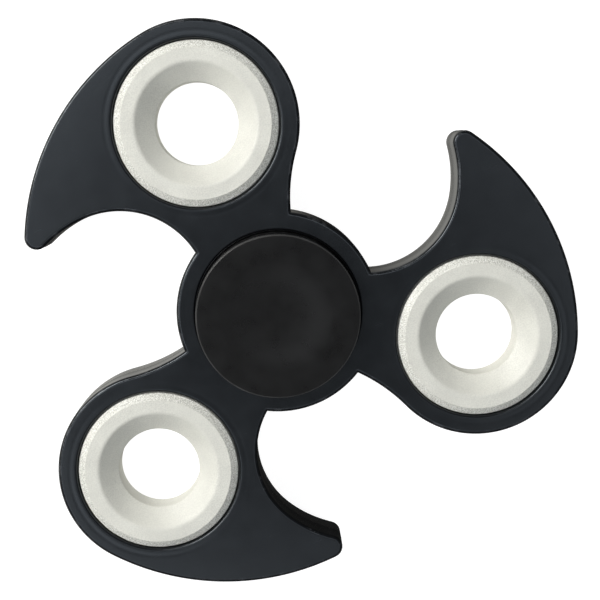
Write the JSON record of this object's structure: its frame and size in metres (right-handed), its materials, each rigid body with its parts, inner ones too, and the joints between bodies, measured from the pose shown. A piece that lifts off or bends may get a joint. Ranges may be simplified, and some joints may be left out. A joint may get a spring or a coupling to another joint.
{
  "type": "fidget spinner",
  "caption": "Hand spinner: hub bearing with a finger cap on each side and hooked arms that end in a claw, each with a pressed-in ring weight.",
  "frame": {"origin": "middle of the bearing: on the spin axis, halfway between the two faces of the body", "axes": "+Z along the spin axis, out of the front cap; +Y through the centre of the first ring weight"},
  "size_m": [0.0762, 0.0759, 0.0146],
  "materials": {
    "body_plastic": "black moulded ABS, satin gloss faces",
    "cap_plastic": "black moulded ABS, soft satin",
    "weight_paint": "off-white silver paint over a cast ring, grainy at its edges",
    "bearing_steel": "ground bearing steel",
    "ball_steel": "polished chrome steel",
    "pressed_steel": "pressed mild steel strip"
  },
  "bodies": {
    "grip": {"cap_front": "cap_plastic", "cap_back": "cap_plastic", "bearing_inner_race": "bearing_steel"},
    "rotor": {"body": "body_plastic", "weight_ring_1": "weight_paint", "weight_ring_2": "weight_paint", "weight_ring_3": "weight_paint", "bearing_outer_race": "bearing_steel", "shield_front": "pressed_steel", "shield_back": "pressed_steel"},
    "cage": {"cage_front": "pressed_steel", "cage_back": "pressed_steel", "cage_rivets": "pressed_steel"},
    "ball_1_body": {"ball_1": "ball_steel"},
    "ball_2_body": {"ball_2": "ball_steel"},
    "ball_3_body": {"ball_3": "ball_steel"},
    "ball_4_body": {"ball_4": "ball_steel"},
    "ball_5_body": {"ball_5": "ball_steel"},
    "ball_6_body": {"ball_6": "ball_steel"},
    "ball_7_body": {"ball_7": "ball_steel"}
  },
  "joints": [
    {"name": "rotor_spin", "type": "hinge", "parent": "grip", "child": "rotor", "pos_m": [0, 0, 0], "axis": [0, 0, 1], "continuous": true},
    {"name": "cage_spin", "type": "hinge", "parent": "grip", "child": "cage", "pos_m": [0, 0, 0], "axis": [0, 0, 1], "continuous": true},
    {"name": "ball_1_roll", "type": "hinge", "parent": "cage", "child": "ball_1_body", "pos_m": [0, 0.0075, 0], "axis": [0, 0, 1], "continuous": true},
    {"name": "ball_2_roll", "type": "hinge", "parent": "cage", "child": "ball_2_body", "pos_m": [-0.00586, 0.00468, 0], "axis": [0, 0, 1], "continuous": true},
    {"name": "ball_3_roll", "type": "hinge", "parent": "cage", "child": "ball_3_body", "pos_m": [-0.00731, -0.00167, 0], "axis": [0, 0, 1], "continuous": true},
    {"name": "ball_4_roll", "type": "hinge", "parent": "cage", "child": "ball_4_body", "pos_m": [-0.00325, -0.00676, 0], "axis": [0, 0, 1], "continuous": true},
    {"name": "ball_5_roll", "type": "hinge", "parent": "cage", "child": "ball_5_body", "pos_m": [0.00325, -0.00676, 0], "axis": [0, 0, 1], "continuous": true},
    {"name": "ball_6_roll", "type": "hinge", "parent": "cage", "child": "ball_6_body", "pos_m": [0.00731, -0.00167, 0], "axis": [0, 0, 1], "continuous": true},
    {"name": "ball_7_roll", "type": "hinge", "parent": "cage", "child": "ball_7_body", "pos_m": [0.00586, 0.00468, 0], "axis": [0, 0, 1], "continuous": true}
  ],
  "couplings": [
    {"joint": "cage_spin", "follows": "rotor_spin", "ratio": 0.6323},
    {"joint": "ball_1_roll", "follows": "rotor_spin", "ratio": 1.7568},
    {"joint": "ball_2_roll", "follows": "rotor_spin", "ratio": 1.7568},
    {"joint": "ball_3_roll", "follows": "rotor_spin", "ratio": 1.7568},
    {"joint": "ball_4_roll", "follows": "rotor_spin", "ratio": 1.7568},
    {"joint": "ball_5_roll", "follows": "rotor_spin", "ratio": 1.7568},
    {"joint": "ball_6_roll", "follows": "rotor_spin", "ratio": 1.7568},
    {"joint": "ball_7_roll", "follows": "rotor_spin", "ratio": 1.7568}
  ]
}
